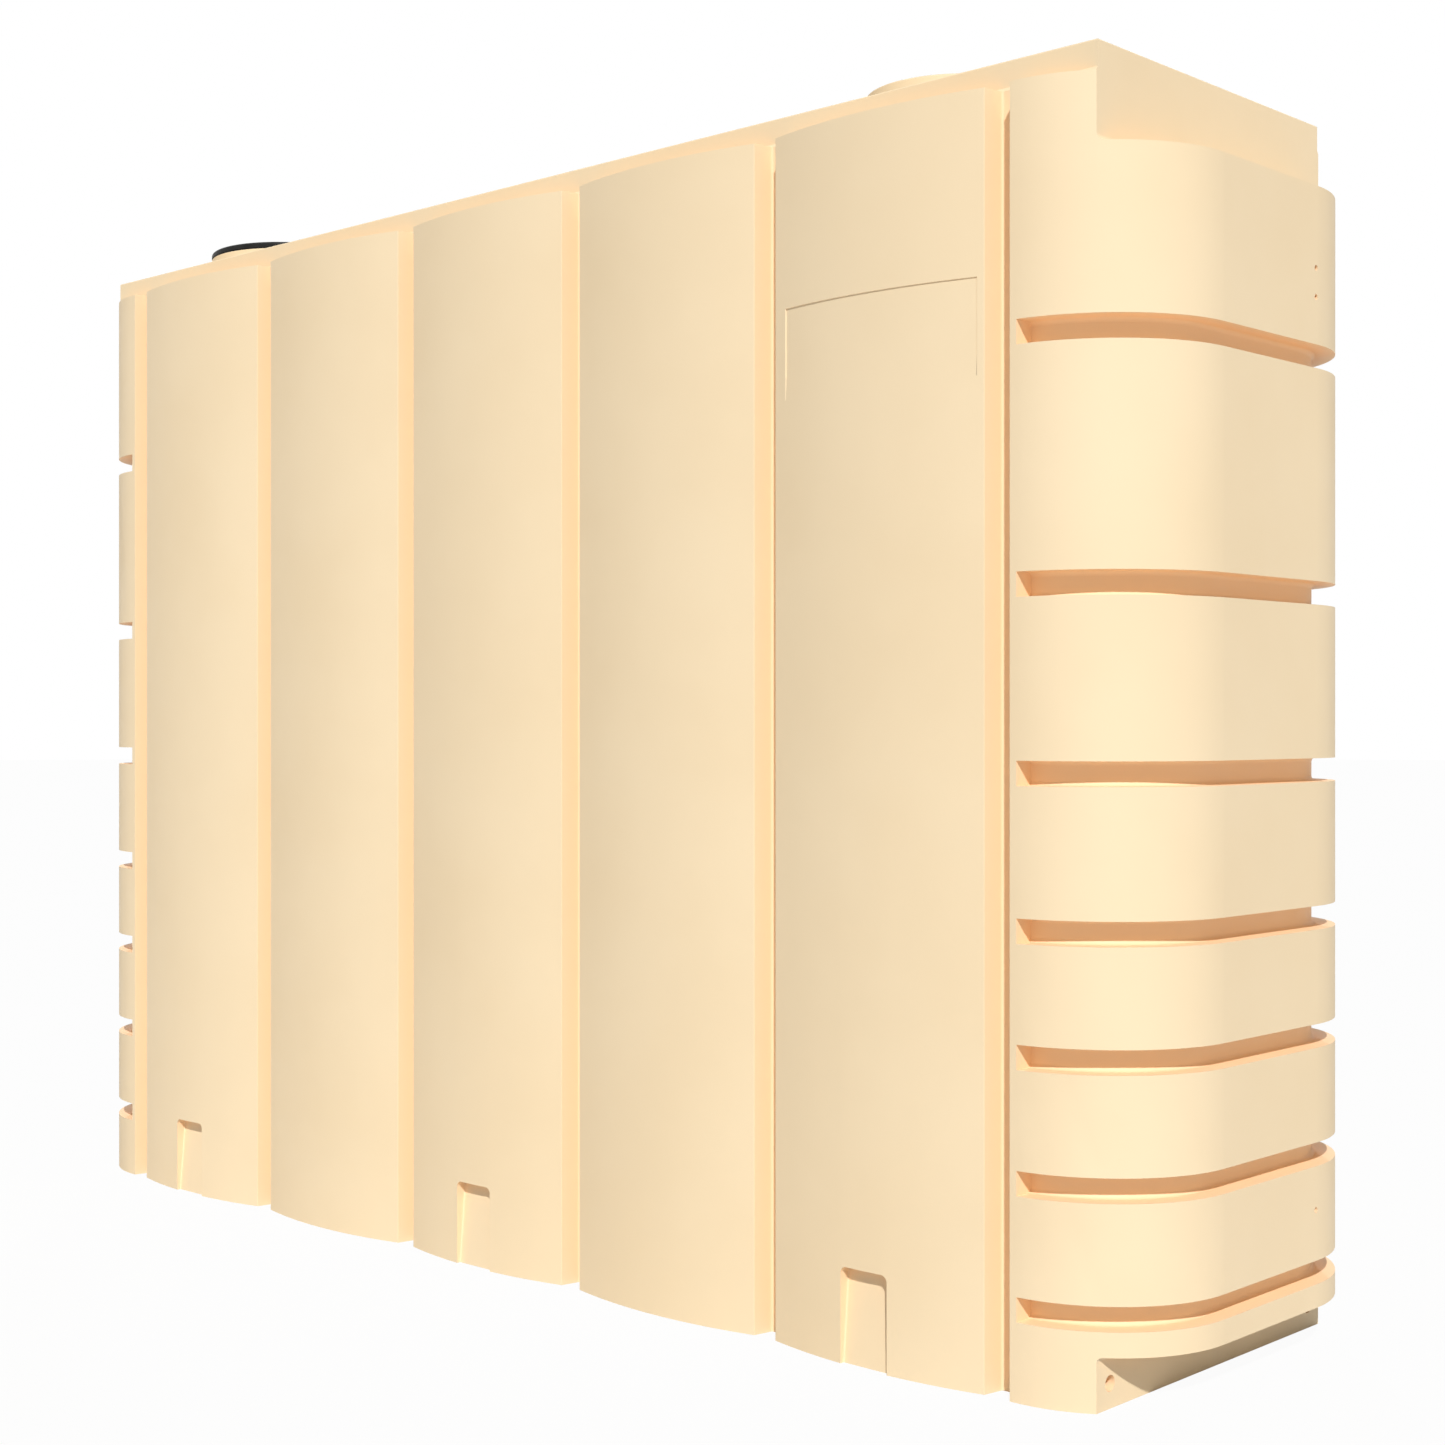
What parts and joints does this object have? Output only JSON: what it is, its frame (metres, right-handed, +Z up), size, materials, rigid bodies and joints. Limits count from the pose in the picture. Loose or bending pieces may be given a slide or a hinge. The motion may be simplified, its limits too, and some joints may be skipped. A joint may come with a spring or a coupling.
{
  "type": "slimline water tank",
  "caption": "Slimline moulded rainwater tank with crowned side panels, grooved round ends, a black screw-in inlet strainer and an overflow spigot.",
  "frame": {"origin": "middle of the flat base, which the tank stands on", "axes": "+X along the tank, away from the inlet strainer; +Z up; the front with the view of the picture faces -Y"},
  "size_m": [3.0376, 0.842, 2.231],
  "materials": {
    "cream_polyethylene": "satin moulded polyethylene",
    "black_plastic": "satin moulded",
    "stainless_mesh": "woven stainless wire",
    "stainless_screw": "plain stainless",
    "black_rubber": "smooth rubber"
  },
  "bodies": {
    "tank": {"tank_body": "cream_polyethylene", "overflow_fitting": "black_plastic", "overflow_seal": "black_rubber", "overflow_locknut": "black_plastic", "overflow_screen": "stainless_mesh", "screen_ring": "black_plastic"},
    "seal_ring": {"lid_seal": "black_rubber"},
    "strainer": {"strainer_basket": "black_plastic", "strainer_mesh": "stainless_mesh", "mesh_clamp_ring": "black_plastic", "clamp_screws": "stainless_screw"}
  },
  "joints": [
    {"name": "strainer_rise", "type": "slide", "parent": "tank", "child": "seal_ring", "axis": [0, 0, 1], "range_m": [0, 0.012]},
    {"name": "strainer_turn", "type": "hinge", "parent": "seal_ring", "child": "strainer", "pos_m": [-1.1875, 0, 2.215], "axis": [0, 0, 1], "range_deg": [0, 360]}
  ],
  "couplings": [
    {"joint": "strainer_rise", "follows": "strainer_turn", "m_per_rad": 0.0019098}
  ]
}
